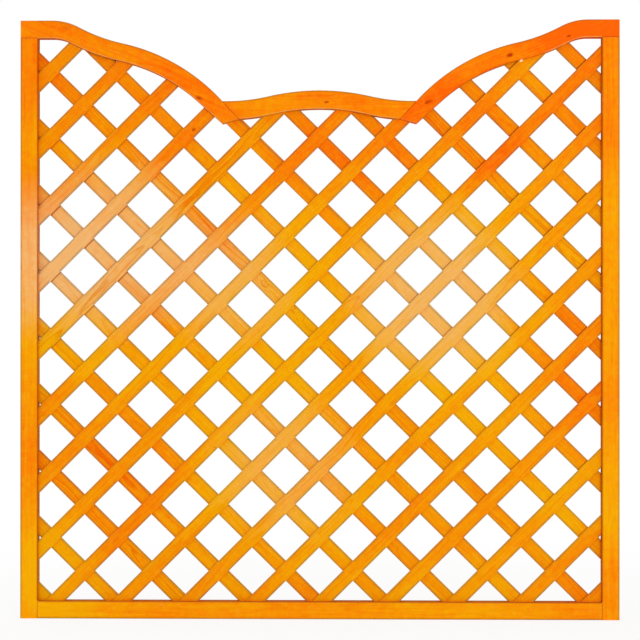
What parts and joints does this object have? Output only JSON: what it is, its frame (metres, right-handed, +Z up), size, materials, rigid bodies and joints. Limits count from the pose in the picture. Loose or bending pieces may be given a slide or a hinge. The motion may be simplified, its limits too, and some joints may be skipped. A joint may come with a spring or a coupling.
{
  "type": "arched trellis fence panel",
  "caption": "Wooden fence panel of crossed diagonal slats in a grooved frame, with an arched top that sweeps down from both corners to a low crown.",
  "frame": {"origin": "middle of the bottom edge, half way through the frame's depth", "axes": "+X to the right along the panel seen from the front, +Z up, -Y out of the front, where the slats that rise to the right lie"},
  "size_m": [1.8, 0.045, 1.8],
  "materials": {
    "frame_wood": "amber translucent stain on planed softwood",
    "slat_wood": "amber translucent stain on planed softwood",
    "dowel_wood": "raw hardwood",
    "screw_zinc": "yellow zinc plated"
  },
  "bodies": {
    "root": {"stile_left": "frame_wood", "stile_right": "frame_wood", "bottom_rail": "frame_wood", "arch_board_left": "frame_wood", "arch_board_right": "frame_wood", "crown_board": "frame_wood", "front_slat_01": "slat_wood", "front_slat_02": "slat_wood", "front_slat_03": "slat_wood", "front_slat_04": "slat_wood", "front_slat_05": "slat_wood", "front_slat_06": "slat_wood", "front_slat_07": "slat_wood", "front_slat_08": "slat_wood", "front_slat_09": "slat_wood", "front_slat_10": "slat_wood", "front_slat_11": "slat_wood", "front_slat_12": "slat_wood", "front_slat_13": "slat_wood", "front_slat_14": "slat_wood", "front_slat_15": "slat_wood", "front_slat_16": "slat_wood", "front_slat_17": "slat_wood", "rear_slat_01": "slat_wood", "rear_slat_02": "slat_wood", "rear_slat_03": "slat_wood", "rear_slat_04": "slat_wood", "rear_slat_05": "slat_wood", "rear_slat_06": "slat_wood", "rear_slat_07": "slat_wood", "rear_slat_08": "slat_wood", "rear_slat_09": "slat_wood", "rear_slat_10": "slat_wood", "rear_slat_11": "slat_wood", "rear_slat_12": "slat_wood", "rear_slat_13": "slat_wood", "rear_slat_14": "slat_wood", "rear_slat_15": "slat_wood", "rear_slat_16": "slat_wood", "rear_slat_17": "slat_wood", "bottom_screw_left": "screw_zinc", "bottom_screw_right": "screw_zinc", "top_screw_left": "screw_zinc", "top_screw_right": "screw_zinc", "dowel_left": "dowel_wood", "dowel_right": "dowel_wood"}
  },
  "joints": []
}
